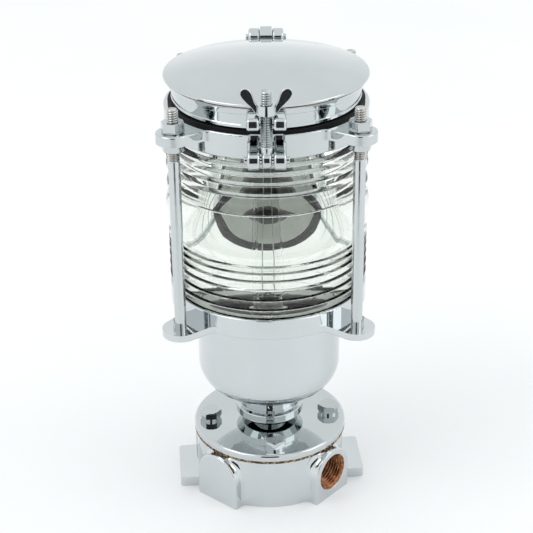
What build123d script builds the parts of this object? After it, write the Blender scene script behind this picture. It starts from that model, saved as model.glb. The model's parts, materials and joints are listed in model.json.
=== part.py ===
from build123d import *
import os
from math import cos, isclose, radians, sin, sqrt

# A guarded marine navigation light. A round junction box carries a lantern bowl on a short pipe
# nipple. Four rods clamp a drum lens between the bowl and a top ring, and a domed lid hinges at the
# back of that ring and latches at the front with a swing bolt and a wing nut.
# Millimetres. +Z is up, -Y is the latch side, and the origin is the centre of the box's flat bottom.

os.makedirs("parts", exist_ok=True)

# ---------------------------------------------------------------- fasteners and fits
thread_radius = 6.35 / 2  # 1/4 in rods, bolts and cover screws
hex_flats = 11.1  # across the flats of every 1/4 in nut and head
nut_height = 5.6
jam_nut_height = 4.7
head_height = 4.0
small_screw_radius = 1.75
small_head_radius = 3.2
small_head_height = 1.8
small_screw_depth = 2.2  # reach of a small screw into the casting under it
screw_clearance = 0.2  # radial gap round a screw in its clearance hole
slot_width = 0.9
fit_gap = 0.03  # radial gap round a fixed shaft
running_gap = 0.06  # radial gap round a turning shaft

# ---------------------------------------------------------------- junction box and its cover
box_heading = 4.5  # the lantern stops a little off square on its pipe thread
box_height = 31.2
box_radius = 44.0
box_cavity_radius = 40.0
box_floor = 4.0
hub_face = 48.6  # flat face of each conduit hub, from the axis
hub_inner_face = 34.0
hub_radius = 14.9
hub_blend = 4.0
hub_rim_round = 0.8
hub_centre = 16.0
conduit_radius = 10.6  # 1/2 in pipe thread, across its roots
mouth_chamfer = 0.8
foot_reach = 55.3
foot_half_width = 17.5
foot_thickness = 6.0
foot_corner_round = 2.0
gasket_cork = 1.6
cover_radius = 45.2
cover_thickness = 4.0
cover_hub_radius = 17.0
cover_hub_depth = 7.0
cover_rim_round = 1.8
screw_circle = 35.5
screw_boss_radius = 6.5
screw_depth = 12.0
washer_thickness = 1.6
washer_radius = 5.9
washer_split = 0.8
washer_split_angle = 20

cork_bottom = box_height
cover_bottom = cork_bottom + gasket_cork
cover_top = cover_bottom + cover_thickness
box_plane = Plane.XY.rotated((0, 0, box_heading))

# ---------------------------------------------------------------- pipe neck
pipe_radius = 10.67  # 1/2 in pipe nipple
pipe_bore = 7.9
collar_bottom = 39.5
collar_top = 50.2
collar_radius = 20.0
collar_foot_radius = 16.4
collar_rim_radius = 18.2
collar_side_bottom = 42.7
collar_side_top = 47.2
collar_shoulder = 48.2
collar_round = 0.6
set_screw_radius = 2.0
set_screw_height = 45.1
set_screw_proud = 0.6
set_screw_slot = 1.4
bowl_neck_radius = 16.9

# ---------------------------------------------------------------- bowl
bowl_bottom = 60.0
bowl_radius = 41.5
bowl_corner = 19.0
bowl_floor = 63.5
bowl_inner_radius = 38.5
bowl_inner_corner = 16.0
flange_bottom = 119.5
flange_top = 131.5
flange_radius = 56.0
lens_seat_radius = 54.4
lens_seat = 128.5
deck_thickness = 1.2
deck_opening = 28.5
deck_radius = 46.8
deck_rim_depth = 4.0
deck_screw_circle = 42.6
deck_screw_length = 5.0
deck_opening_round = 1.0

# ---------------------------------------------------------------- drum lens
lens_gasket = 1.6
lens_bore = 48.5
lens_foot_radius = 54.0
lens_tip = 56.2  # outer edge of each prism
lens_root = 53.7
upper_prism_root = 50.9  # the upper prisms are cut deeper and throw the light further
lens_bottom = lens_seat + lens_gasket
lens_top = 228.0
light_centre = 178.0
belt_half = 14.8
belt_crown = 57.0
upper_risers = (192.8, 203.4, 209.7, 215.4, 220.4)
lower_risers = (163.2, 159.2, 154.6, 149.3, 143.2, 137.4)
upper_prism_end = 224.5
lower_prism_end = 131.9
prism_edge = 0.35

# ---------------------------------------------------------------- guard rods and top ring
rod_circle = 68.0
rod_start_angle = 45.0
rod_top = 250.6
rod_top_rear_right = 249.4  # the rear rods stand a little lower in their nuts
rod_top_rear_left = 248.2
rod_tip_radius = 1.0
lower_ear_radius = 10.2
lower_ear_thickness = 4.3
upper_ear_radius = 9.2
upper_ear_thickness = 5.6
ear_root_radius = 46.0
ear_root_half_width = 13.0
ear_blend = 5.0
rim_round = 0.9
ring_bottom = 225.0
ring_top = 238.3
ring_bore = 47.5
ring_seat = lens_top + lens_gasket
lid_gasket_radius = 53.6
lid_gasket_thickness = 1.6

# ---------------------------------------------------------------- latch
latch_circle = 62.0
lug_gap = 7.0
lug_width = 6.6
lug_round = 1.4
lug_root = 51.0
pivot_height = 227.8
pivot_lug_radius = 5.2
pivot_lug_rise = 3.4  # the lug's top slopes up this far to the ring
notch_half_width = 9.4  # flat cut in the ring behind the latch lugs
notch_radius = 53.0
notch_bottom = 233.0
notch_corner = 1.5
pivot_pin_radius = 1.7
pin_length = 23.4
bolt_eye_radius = 4.6
bolt_eye_width = 5.0
bolt_eye_round = 1.2
bolt_top = 264.8
bolt_tip_round = 0.8
lid_lug_bottom = 245.8
lid_lug_top = 252.2
lid_lug_reach = 70.2
lid_lug_top_reach = 69.0  # the nose leans back a little
lid_lug_nose = 2.2
nut_base = 253.0  # just clear of the lugs, so that the bolt swings out past them
nut_hub_top = 257.8
nut_hub_radius = 5.6
nut_hub_top_radius = 4.7
wing_foot_half_thickness = 2.2
wing_tip_half_thickness = 1.0
wing_round = 0.3
# wing outline as (distance from the bolt's axis, height over the nut's base)
wing_root = ((4.2, 0.8), (5.8, 0.8))
wing_outer_edge = ((7.0, 2.7), (9.8, 5.6), (13.1, 10.1))
wing_tip = ((12.5, 12.3), (10.0, 13.0))
wing_inner_edge = ((7.6, 11.2), (6.3, 7.8), (4.7, 4.5))
wing_top = nut_base + wing_tip[-1][1]
wing_span = 15.0

# ---------------------------------------------------------------- lid
skirt_bottom = 240.0
skirt_step = 250.0
skirt_top = 253.4
skirt_foot_radius = 51.0
skirt_lip_radius = 51.7
skirt_lip_round = 0.7
skirt_lip_height = 2.0
skirt_lip_step = 0.4
skirt_radius = 51.3
skirt_ledge = 248.0
skirt_ledge_radius = 52.2
flare_bottom = 248.5
flare_bottom_radius = 52.9
flare_top_radius = 55.2
flare_curve = 8.0
skirt_bore = 46.5
skirt_flange_bore = 41.0
dome_radius = 55.7
dome_rim = 1.2
dome_rim_round = 0.9
dome_crown = 262.0
dome_thickness = 2.4
dome_seat_bore = 40.0
dome_screw_circle = 44.0
dome_screw_radius = 1.5
dome_screw_reach = 2.3
dome_screw_head_radius = 2.4
dome_screw_head_height = 1.4
hinge_height = 253.2
hinge_circle = 62.6
hinge_lug_radius = 5.2
hinge_foot = 228.0
hinge_web_height = 234.3
hinge_knuckle_radius = 6.3
hinge_pin_radius = 1.9
knuckle_foot = 244.0
knuckle_width = lug_gap - 0.4
pin_round = 0.5

# ---------------------------------------------------------------- lamp and its holder
stem_flange_radius = 21.0
stem_flange_thickness = 3.0
stem_radius = 6.5
stem_bore = 4.6
stem_foot_blend = 3.0
stem_flange_round = 1.0
stem_screw_circle = 16.5
socket_bottom = 107.0
socket_top = 128.0
socket_radius = 9.0
socket_bore = 7.65
socket_floor = 1.5
socket_rim_height = 2.0
socket_rim_proud = 0.9
slot_angle = 24
slot_step = 6
insulator_thickness = 4.0
contact_offset = 3.0
contact_radius = 1.3
contact_top = 115.0
wire_radius = 1.0
wire_depth = 12.0
wire_bend = 9.0
wire_end_across = 24.0
wire_end_forward = 9.0
lamp_base_radius = 7.5
lamp_base_top = 133.0
lamp_pin_height = 121.4
lamp_pin_radius = 1.0
lamp_pin_reach = 9.2
lamp_glass_radius = 8.2
lamp_glass_neck = 6.6
lamp_glass_top = 188.0
glass_wall = 0.7
lamp_glass_depth = 4.0
lamp_glass_floor = 1.5
lamp_glass_shoulder = 4.0
lamp_neck_top = 133.6
lamp_base_round = 0.8
filament_support_radius = 0.35
filament_radius = 0.6

rod_angles = [rod_start_angle + 90 * quarter for quarter in range(4)]
rod_names = ("rear_right", "rear_left", "front_left", "front_right")
rod_tops = (rod_top_rear_right, rod_top_rear_left, rod_top, rod_top)


# ---------------------------------------------------------------- helpers
def save(builder, label):
    """Label the finished piece and write it as its own STEP file."""
    builder.part.label = label
    export_step(builder.part, f"parts/{label}.step")


def rims(builder, radius, height):
    """Circular edges round the axis with this radius at this height."""
    return [
        edge
        for edge in builder.edges().filter_by(GeomType.CIRCLE)
        if isclose(edge.radius, radius, abs_tol=0.01)
        and isclose(edge.arc_center.Z, height, abs_tol=0.01)
    ]


def cap_sphere(rim_radius, rise):
    """Radius of the sphere whose cap has this rim and this rise."""
    return (rim_radius**2 + rise**2) / (2 * rise)


def tube(outer, inner, bottom, top):
    """Plain ring between two heights."""
    with BuildPart() as ring:
        with BuildSketch(Plane.XY.offset(bottom)):
            Circle(outer)
            Circle(inner, mode=Mode.SUBTRACT)
        extrude(amount=top - bottom)
    return ring


def hexagon_blank(height, both_ends, bore_radius=0):
    """Hexagon standing on Z = 0 with its corners turned off at the top, or at both ends."""
    corner_radius = hex_flats / sqrt(3)
    face_radius = hex_flats / 2 * 0.96
    drop = (corner_radius - face_radius) * 0.5
    foot = [(face_radius, 0), (corner_radius, drop)] if both_ends else [(corner_radius, 0)]
    with BuildPart() as blank:
        with BuildSketch():
            RegularPolygon(hex_flats / 2, 6, major_radius=False)
        extrude(amount=height)
        with BuildSketch(Plane.XZ):
            with BuildLine():
                Polyline(
                    (0, 0),
                    *foot,
                    (corner_radius, height - drop),
                    (face_radius, height),
                    (0, height),
                    close=True,
                )
            make_face()
        revolve(axis=Axis.Z, mode=Mode.INTERSECT)
        if bore_radius:
            with BuildSketch():
                Circle(bore_radius)
            extrude(amount=height, mode=Mode.SUBTRACT)
    return blank


def slotted_screw(shank_radius, shank_length, top_radius, top_height):
    """Round-headed slotted screw, head up, with the underside of its head at Z = 0."""
    with BuildPart() as screw:
        with BuildSketch():
            Circle(top_radius)
        extrude(amount=top_height)
        fillet(rims(screw, top_radius, top_height), top_height * 0.55)
        with BuildSketch():
            Circle(shank_radius)
        extrude(amount=-shank_length)
        with BuildSketch(Plane.XY.offset(top_height)):
            Rectangle(3 * top_radius, slot_width)
        extrude(amount=-top_height / 2, mode=Mode.SUBTRACT)
    return screw


def eared_outline(ear_radius):
    """Flange disc with four lugs that reach out round the guard rods."""
    with BuildSketch() as ear:
        with Locations((rod_circle, 0)):
            Circle(ear_radius)
        with Locations((ear_root_radius, 0)):
            Rectangle(1, 2 * ear_root_half_width)
        make_hull()
    with BuildSketch() as outline:
        Circle(flange_radius)
        with PolarLocations(0, 4, start_angle=rod_start_angle):
            add(ear.sketch)
        corners = [
            corner
            for corner in outline.vertices()
            if isclose(Vector(corner).length, flange_radius, abs_tol=0.05)
        ]
        fillet(corners, ear_blend)
    return outline.sketch


def lug_pair(profile):
    """Two equal lugs either side of the lug gap, from one side-view outline, with softened edges."""
    with BuildPart() as lug:
        with BuildSketch(Plane.YZ):
            add(profile)
        extrude(amount=lug_width / 2, both=True)
        outer_edges = [
            edge
            for face in lug.faces().filter_by(Axis.X)
            for edge in face.edges()
            if abs(edge.center().Y) > lug_root + 0.5
        ]
        fillet(outer_edges, lug_round)
    middle = (lug_gap + lug_width) / 2
    with BuildPart() as lugs:
        with Locations((-middle, 0), (middle, 0)):
            add(lug.part)
    return lugs


def heading_vector(angle):
    """Level unit vector at this angle from +X."""
    return Vector(cos(radians(angle)), sin(radians(angle)), 0)


# ================================================================ junction box
hub_angles = [45 + 90 * quarter + box_heading for quarter in range(4)]
tapped_direction = heading_vector(box_heading - 45)

with BuildPart() as junction_box:
    with BuildSketch(box_plane):
        Circle(box_radius)
    extrude(amount=box_height)
    for angle in hub_angles:
        outward = heading_vector(angle)
        with BuildSketch(Plane(origin=outward * hub_face, x_dir=heading_vector(angle + 90), z_dir=outward)):
            with Locations((0, hub_centre)):
                Circle(hub_radius)
            with Locations((0, hub_centre / 2)):
                Rectangle(2 * hub_radius, hub_centre)
        extrude(amount=-(hub_face - hub_inner_face))
    hub_sides = [
        edge
        for edge in junction_box.edges().filter_by(Axis.Z)
        if isclose(Vector(edge.center().X, edge.center().Y).length, box_radius, abs_tol=0.05)
    ]
    fillet(hub_sides, hub_blend)
    hub_rims = [
        edge
        for edge in junction_box.edges()
        if edge.center().Z > 1
        and any(isclose(edge.center().dot(heading_vector(a)), hub_face, abs_tol=0.05) for a in hub_angles)
    ]
    fillet(hub_rims, hub_rim_round)
    with BuildSketch(box_plane):
        Rectangle(2 * foot_reach, 2 * foot_half_width)
    extrude(amount=foot_thickness)
    foot_corners = [
        edge
        for edge in junction_box.edges().filter_by(Axis.Z)
        if Vector(edge.center().X, edge.center().Y).length > foot_reach
    ]
    fillet(foot_corners, foot_corner_round)
    with BuildSketch(box_plane.offset(box_floor)):
        Circle(box_cavity_radius)
        with PolarLocations(screw_circle, 4):
            Circle(screw_boss_radius, mode=Mode.SUBTRACT)
        with PolarLocations((hub_inner_face + hub_face) / 2, 4, start_angle=45):
            Rectangle(hub_face - hub_inner_face, 2 * hub_radius, mode=Mode.SUBTRACT)
    extrude(amount=box_height - box_floor, mode=Mode.SUBTRACT)
    with BuildSketch(box_plane.offset(box_height)):
        with PolarLocations(screw_circle, 4):
            Circle(thread_radius + fit_gap)
    extrude(amount=-screw_depth, mode=Mode.SUBTRACT)
    mouth = Plane(origin=tapped_direction * hub_face + Vector(0, 0, hub_centre), z_dir=tapped_direction)
    with BuildSketch(mouth):
        Circle(conduit_radius)
    extrude(amount=-(hub_face - hub_inner_face + 1), mode=Mode.SUBTRACT)
    with BuildSketch(mouth):
        Circle(conduit_radius + mouth_chamfer)
    extrude(amount=-mouth_chamfer, taper=45, mode=Mode.SUBTRACT)
save(junction_box, "junction_box")

# ================================================================ cover, its gasket and screws
with BuildPart() as cover_gasket:
    with BuildSketch(box_plane.offset(cork_bottom)):
        Circle(cover_radius)
        Circle(box_cavity_radius - 2, mode=Mode.SUBTRACT)
        with PolarLocations(screw_circle, 4):
            Circle(screw_boss_radius)
        with PolarLocations(screw_circle, 4):
            Circle(thread_radius + screw_clearance, mode=Mode.SUBTRACT)
    extrude(amount=gasket_cork)
save(cover_gasket, "cover_gasket")

with BuildPart() as box_cover:
    with BuildSketch(box_plane.offset(cover_bottom)):
        Circle(cover_radius)
    extrude(amount=cover_thickness)
    fillet(rims(box_cover, cover_radius, cover_top), cover_rim_round)
    with BuildSketch(box_plane.offset(cover_bottom)):
        Circle(cover_hub_radius)
    extrude(amount=-cover_hub_depth)
    with BuildSketch(box_plane.offset(cover_top)):
        Circle(pipe_radius + fit_gap)
        with PolarLocations(screw_circle, 4):
            Circle(thread_radius + screw_clearance)
    extrude(amount=-(cover_thickness + cover_hub_depth), mode=Mode.SUBTRACT)
save(box_cover, "box_cover")

screw_length = washer_thickness + cover_thickness + gasket_cork + screw_depth - 1
screw_head = hexagon_blank(head_height, False)
with BuildPart() as one_cover_screw:
    add(screw_head.part)
    with BuildSketch():
        Circle(thread_radius)
    extrude(amount=-screw_length)
with BuildPart(box_plane.offset(cover_top + washer_thickness)) as cover_screws:
    with PolarLocations(screw_circle, 4):
        add(one_cover_screw.part)
save(cover_screws, "cover_screws")

with BuildPart() as one_lock_washer:
    with BuildSketch():
        Circle(washer_radius)
        Circle(thread_radius + screw_clearance, mode=Mode.SUBTRACT)
        with Locations((-washer_radius, 0)):
            Rectangle(washer_radius, washer_split, rotation=washer_split_angle, mode=Mode.SUBTRACT)
    extrude(amount=washer_thickness)
with BuildPart(box_plane.offset(cover_top)) as cover_lock_washers:
    with PolarLocations(screw_circle, 4):
        add(one_lock_washer.part)
save(cover_lock_washers, "cover_lock_washers")

# ================================================================ pipe neck
stem_nipple = tube(pipe_radius, pipe_bore, cover_bottom - cover_hub_depth + 1, bowl_floor - 0.5)
save(stem_nipple, "stem_nipple")

collar_bore = pipe_radius + fit_gap
collar_wall = collar_radius - pipe_radius
set_screw_plane = Plane(origin=(0, -collar_radius, set_screw_height), z_dir=(0, -1, 0))
with BuildPart() as lock_collar:
    with BuildSketch(Plane.XZ):
        with BuildLine():
            Polyline(
                (collar_bore, collar_bottom),
                (collar_foot_radius, collar_bottom),
                (collar_radius, collar_side_bottom),
                (collar_radius, collar_side_top),
                (collar_rim_radius, collar_shoulder),
                (collar_rim_radius, collar_top),
                (collar_bore, collar_top),
                close=True,
            )
        make_face()
    revolve(axis=Axis.Z)
    fillet(rims(lock_collar, collar_radius, collar_side_bottom), collar_round)
    fillet(rims(lock_collar, collar_radius, collar_side_top), collar_round)
    fillet(rims(lock_collar, collar_foot_radius, collar_bottom), collar_round)
    with BuildSketch(set_screw_plane):
        Circle(set_screw_radius + fit_gap)
    extrude(amount=-collar_wall, mode=Mode.SUBTRACT)
save(lock_collar, "lock_collar")

with BuildPart() as collar_set_screw:
    with BuildSketch(set_screw_plane.offset(set_screw_proud)):
        Circle(set_screw_radius)
    extrude(amount=-(collar_wall + set_screw_proud - fit_gap))
    with BuildSketch(set_screw_plane.offset(set_screw_proud)):
        Rectangle(slot_width, 3 * set_screw_radius)
    extrude(amount=-set_screw_slot, mode=Mode.SUBTRACT)
save(collar_set_screw, "collar_set_screw")

# ================================================================ lantern bowl
with BuildPart() as lantern_bowl:
    with BuildSketch(Plane.XZ):
        with BuildLine():
            Polyline(
                (pipe_radius + fit_gap, bowl_floor),
                (pipe_radius + fit_gap, collar_top),
                (bowl_neck_radius, collar_top),
                (bowl_neck_radius, bowl_bottom),
                (bowl_radius - bowl_corner, bowl_bottom),
            )
            RadiusArc(
                (bowl_radius - bowl_corner, bowl_bottom),
                (bowl_radius, bowl_bottom + bowl_corner),
                -bowl_corner,
            )
            Polyline(
                (bowl_radius, bowl_bottom + bowl_corner),
                (bowl_radius, flange_bottom),
                (flange_radius, flange_bottom),
                (flange_radius, flange_top),
                (lens_seat_radius, flange_top),
                (lens_seat_radius, lens_seat),
                (bowl_inner_radius, lens_seat),
                (bowl_inner_radius, bowl_floor + bowl_inner_corner),
            )
            RadiusArc(
                (bowl_inner_radius, bowl_floor + bowl_inner_corner),
                (bowl_inner_radius - bowl_inner_corner, bowl_floor),
                bowl_inner_corner,
            )
            Line((bowl_inner_radius - bowl_inner_corner, bowl_floor), (pipe_radius + fit_gap, bowl_floor))
        make_face()
    revolve(axis=Axis.Z)
    fillet(rims(lantern_bowl, flange_radius, flange_top), rim_round)
    with BuildSketch(Plane.XY.offset(flange_bottom)):
        add(eared_outline(lower_ear_radius))
        Circle(bowl_radius, mode=Mode.SUBTRACT)
    extrude(amount=lower_ear_thickness)
    level_faces = lantern_bowl.faces().filter_by(Axis.Z)
    underside = level_faces.sort_by(lambda face: abs(face.center().Z - flange_bottom))[0]
    fillet(underside.outer_wire().edges(), rim_round)
    with BuildSketch(Plane.XY.offset(flange_bottom)):
        with PolarLocations(rod_circle, 4, start_angle=rod_start_angle):
            Circle(thread_radius + fit_gap)
    extrude(amount=lower_ear_thickness, mode=Mode.SUBTRACT)
    with BuildSketch(Plane.XY.offset(lens_seat)):
        with PolarLocations(deck_screw_circle, 3, start_angle=30):
            Circle(small_screw_radius + fit_gap)
    extrude(amount=-deck_screw_length, mode=Mode.SUBTRACT)
    with BuildSketch(Plane.XY.offset(bowl_floor)):
        with PolarLocations(stem_screw_circle, 3, start_angle=90):
            Circle(small_screw_radius + fit_gap)
    extrude(amount=-(small_screw_depth + screw_clearance), mode=Mode.SUBTRACT)
save(lantern_bowl, "lantern_bowl")

# ================================================================ deck plate over the bowl
deck_top = lens_seat + deck_thickness
with BuildPart() as deck_plate:
    with BuildSketch(Plane.XZ):
        with BuildLine():
            Polyline(
                (deck_opening, deck_top - deck_rim_depth),
                (deck_opening + deck_thickness, deck_top - deck_rim_depth),
                (deck_opening + deck_thickness, lens_seat),
                (deck_radius, lens_seat),
                (deck_radius, deck_top),
                (deck_opening, deck_top),
                close=True,
            )
        make_face()
    revolve(axis=Axis.Z)
    fillet(rims(deck_plate, deck_opening, deck_top), deck_opening_round)
    with BuildSketch(Plane.XY.offset(deck_top)):
        with PolarLocations(deck_screw_circle, 3, start_angle=30):
            Circle(small_screw_radius + screw_clearance)
    extrude(amount=-deck_thickness, mode=Mode.SUBTRACT)
save(deck_plate, "deck_plate")

deck_screw = slotted_screw(small_screw_radius, deck_screw_length, small_head_radius, small_head_height)
with BuildPart(Plane.XY.offset(deck_top)) as deck_screws:
    with PolarLocations(deck_screw_circle, 3, start_angle=30):
        add(deck_screw.part)
save(deck_screws, "deck_screws")

# ================================================================ lens and its two gaskets
save(tube(lens_foot_radius, lens_bore - 1, lens_seat, lens_bottom), "lower_lens_gasket")
save(tube(lens_foot_radius, lens_bore - 0.5, lens_top, ring_seat), "upper_lens_gasket")


def prism_outline(risers, end, root):
    """Saw-tooth of (radius, height) points: each prism is thickest at the edge nearest the belt."""
    points = []
    for near, far in zip(risers, (*risers[1:], end)):
        points.append((lens_tip, near))
        points.append((root, far))
    return points


with BuildPart() as fresnel_lens:
    with BuildSketch(Plane.XZ) as lens_section:
        belt_top = (lens_root, light_centre + belt_half)
        belt_bottom = (lens_root, light_centre - belt_half)
        upper = prism_outline(upper_risers, upper_prism_end, upper_prism_root)
        lower = prism_outline(lower_risers, lower_prism_end, lens_root)
        with BuildLine():
            ThreePointArc(belt_bottom, (belt_crown, light_centre), belt_top)
            Polyline(
                belt_top,
                *upper,
                (lens_foot_radius, upper[-1][1]),
                (lens_foot_radius, lens_top),
                (lens_bore, lens_top),
                (lens_bore, lens_bottom),
                (lens_foot_radius, lens_bottom),
                (lens_foot_radius, lower[-1][1]),
                *reversed(lower),
                belt_bottom,
            )
        make_face()
        tips = [v for v in lens_section.vertices() if isclose(v.X, lens_tip, abs_tol=0.01)]
        fillet(tips, prism_edge)
    revolve(axis=Axis.Z)
save(fresnel_lens, "fresnel_lens")

# ================================================================ guard rods
for angle, place, tip_height in zip(rod_angles, rod_names, rod_tops):
    foot = (rod_circle * cos(radians(angle)), rod_circle * sin(radians(angle)), flange_bottom)
    with BuildPart() as guard_rod:
        with BuildSketch(Plane(origin=foot)):
            Circle(thread_radius)
        extrude(amount=tip_height - flange_bottom)
        fillet(guard_rod.edges().sort_by(Axis.Z)[-1], rod_tip_radius)
    save(guard_rod, f"guard_rod_{place}")

# ================================================================ top ring with lugs for latch and hinge
with BuildSketch() as pivot_lug_outline:
    with BuildLine():
        Polyline(
            (-lug_root, ring_bottom + rim_round),
            (-flange_radius, ring_bottom + rim_round),
            (-latch_circle, pivot_height - pivot_lug_radius),
            (-latch_circle, pivot_height + pivot_lug_radius),
            (-flange_radius, pivot_height + pivot_lug_radius + pivot_lug_rise),
            (-lug_root, pivot_height + pivot_lug_radius + pivot_lug_rise),
            close=True,
        )
    make_face()
    with Locations((-latch_circle, pivot_height)):
        Circle(pivot_lug_radius)

hinge_face = hinge_circle - hinge_lug_radius
with BuildSketch() as hinge_lug_outline:
    with BuildLine():
        Polyline(
            (lug_root, hinge_foot),
            (flange_radius, hinge_foot),
            (hinge_circle, hinge_web_height),
            (hinge_circle + hinge_lug_radius, hinge_height - hinge_lug_radius),
            (hinge_circle + hinge_lug_radius, hinge_height),
            (hinge_face, hinge_height),
            (hinge_face, ring_top - 1),
            (lug_root, ring_top - 1),
            close=True,
        )
    make_face()
    with Locations((hinge_circle, hinge_height)):
        Circle(hinge_lug_radius)

with BuildPart() as top_ring:
    with BuildSketch(Plane.XY.offset(ring_bottom)):
        Circle(flange_radius)
    extrude(amount=ring_top - ring_bottom)
    with BuildSketch(Plane.XY.offset(ring_top - upper_ear_thickness)):
        add(eared_outline(upper_ear_radius))
    extrude(amount=upper_ear_thickness)
    fillet(top_ring.faces().sort_by(Axis.Z)[-1].outer_wire().edges(), rim_round)
    fillet(rims(top_ring, flange_radius, ring_bottom), rim_round)
    with BuildSketch(Plane.XY.offset(ring_top)):
        with Locations((0, -(notch_radius + flange_radius) / 2 - rim_round)):
            RectangleRounded(2 * notch_half_width, flange_radius - notch_radius + 2 * rim_round, notch_corner)
    extrude(amount=notch_bottom - ring_top, mode=Mode.SUBTRACT)
    add(lug_pair(pivot_lug_outline.sketch).part)
    add(lug_pair(hinge_lug_outline.sketch).part)
    with BuildSketch(Plane.XY.offset(ring_bottom)):
        Circle(lens_seat_radius)
    extrude(amount=ring_seat - ring_bottom, mode=Mode.SUBTRACT)
    with BuildSketch(Plane.XY.offset(ring_bottom)):
        Circle(ring_bore)
        with PolarLocations(rod_circle, 4, start_angle=rod_start_angle):
            Circle(thread_radius + fit_gap)
    extrude(amount=ring_top - ring_bottom, mode=Mode.SUBTRACT)
    with BuildSketch(Plane.YZ):
        with Locations((-latch_circle, pivot_height)):
            Circle(pivot_pin_radius + fit_gap)
        with Locations((hinge_circle, hinge_height)):
            Circle(hinge_pin_radius + fit_gap)
    extrude(amount=pin_length, both=True, mode=Mode.SUBTRACT)
save(top_ring, "top_ring")

for label, height, base in (
    ("upper_rod_nuts", nut_height, ring_top),
    ("lower_rod_nuts", jam_nut_height, ring_top - upper_ear_thickness - jam_nut_height),
):
    blank = hexagon_blank(height, True, thread_radius + fit_gap)
    with BuildPart(Plane.XY.offset(base)) as rod_nuts:
        with PolarLocations(rod_circle, 4, start_angle=rod_start_angle):
            add(blank.part)
    save(rod_nuts, label)

save(tube(lid_gasket_radius, ring_bore, ring_top, ring_top + lid_gasket_thickness - 0.1), "lid_gasket")

# ================================================================ pins
for label, place, height, radius in (
    ("latch_pin", -latch_circle, pivot_height, pivot_pin_radius),
    ("hinge_pin", hinge_circle, hinge_height, hinge_pin_radius),
):
    with BuildPart() as pin:
        with BuildSketch(Plane.YZ.offset(-pin_length / 2)):
            with Locations((place, height)):
                Circle(radius)
        extrude(amount=pin_length)
        fillet(pin.edges().filter_by(GeomType.CIRCLE), pin_round)
    save(pin, label)

# ================================================================ swing bolt and wing nut
with BuildPart() as swing_bolt:
    with BuildSketch(Plane.YZ):
        with Locations((-latch_circle, pivot_height)):
            Circle(bolt_eye_radius)
    extrude(amount=bolt_eye_width / 2, both=True)
    fillet(swing_bolt.edges().filter_by(GeomType.CIRCLE), bolt_eye_round)
    with BuildSketch(Plane.XY.offset(pivot_height)):
        with Locations((0, -latch_circle)):
            Circle(thread_radius)
    extrude(amount=bolt_top - pivot_height)
    fillet(swing_bolt.edges().sort_by(Axis.Z)[-1], bolt_tip_round)
    with BuildSketch(Plane.YZ):
        with Locations((-latch_circle, pivot_height)):
            Circle(pivot_pin_radius + running_gap)
    extrude(amount=thread_radius, both=True, mode=Mode.SUBTRACT)
save(swing_bolt, "swing_bolt")

with BuildPart() as wing_nut:
    with BuildSketch(Plane.XZ.offset(latch_circle)):
        for side in (-1, 1):
            root, outer, tip, inner = [
                [(side * across, nut_base + up) for across, up in points]
                for points in (wing_root, wing_outer_edge, wing_tip, wing_inner_edge)
            ]
            with BuildLine():
                Line(root[0], root[1])
                Spline(root[1], *outer)
                Spline(outer[-1], *tip)
                Spline(tip[-1], *inner)
                Line(inner[-1], root[0])
            make_face()
    extrude(amount=wing_foot_half_thickness, both=True)
    with BuildSketch(Plane.YZ):
        with BuildLine():
            Polyline(
                (-latch_circle - wing_foot_half_thickness, nut_base),
                (-latch_circle + wing_foot_half_thickness, nut_base),
                (-latch_circle + wing_tip_half_thickness, wing_top),
                (-latch_circle - wing_tip_half_thickness, wing_top),
                close=True,
            )
        make_face()
    extrude(amount=wing_span, both=True, mode=Mode.INTERSECT)
    wing_sides = wing_nut.faces().filter_by(lambda face: abs(face.normal_at().Y) > 0.9)
    fillet(wing_sides.edges(), wing_round)
    with BuildSketch(Plane.XY.offset(nut_base)):
        with Locations((0, -latch_circle)):
            Circle(nut_hub_radius)
    with BuildSketch(Plane.XY.offset(nut_hub_top)):
        with Locations((0, -latch_circle)):
            Circle(nut_hub_top_radius)
    loft()
    with BuildSketch(Plane.XY.offset(nut_base)):
        with Locations((0, -latch_circle)):
            Circle(thread_radius + running_gap)
    extrude(amount=2 * (nut_hub_top - nut_base), mode=Mode.SUBTRACT)
save(wing_nut, "wing_nut")

# ================================================================ lid
rim_top = skirt_top + dome_rim
ceiling = dome_crown - dome_thickness
outer_sphere = cap_sphere(dome_radius, dome_crown - rim_top)
inner_sphere = cap_sphere(dome_seat_bore, ceiling - skirt_top)
with BuildPart() as lid_dome:
    with BuildSketch(Plane.XZ):
        with BuildLine():
            Line((0, ceiling), (0, dome_crown))
            RadiusArc((0, dome_crown), (dome_radius, rim_top), outer_sphere)
            Polyline((dome_radius, rim_top), (dome_radius, skirt_top), (dome_seat_bore, skirt_top))
            RadiusArc((dome_seat_bore, skirt_top), (0, ceiling), -inner_sphere)
        make_face()
    revolve(axis=Axis.Z)
    fillet(rims(lid_dome, dome_radius, rim_top), dome_rim_round)
    with BuildSketch(Plane.XY.offset(skirt_top)):
        with PolarLocations(dome_screw_circle, 4, start_angle=rod_start_angle):
            Circle(dome_screw_radius + fit_gap)
    extrude(amount=dome_screw_reach + screw_clearance, mode=Mode.SUBTRACT)
save(lid_dome, "lid_dome")

lid_root = skirt_foot_radius - 2
knuckle_top = skirt_top - 0.1
with BuildSketch() as lid_lug_outline:
    with BuildLine():
        Polyline(
            (-lid_lug_reach, lid_lug_bottom),
            (-lid_root, lid_lug_bottom),
            (-lid_root, lid_lug_top),
            (-lid_lug_top_reach, lid_lug_top),
            close=True,
        )
    make_face()
    nose_corners = [corner for corner in lid_lug_outline.vertices() if corner.X < -skirt_foot_radius]
    fillet(nose_corners, lid_lug_nose)

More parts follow.
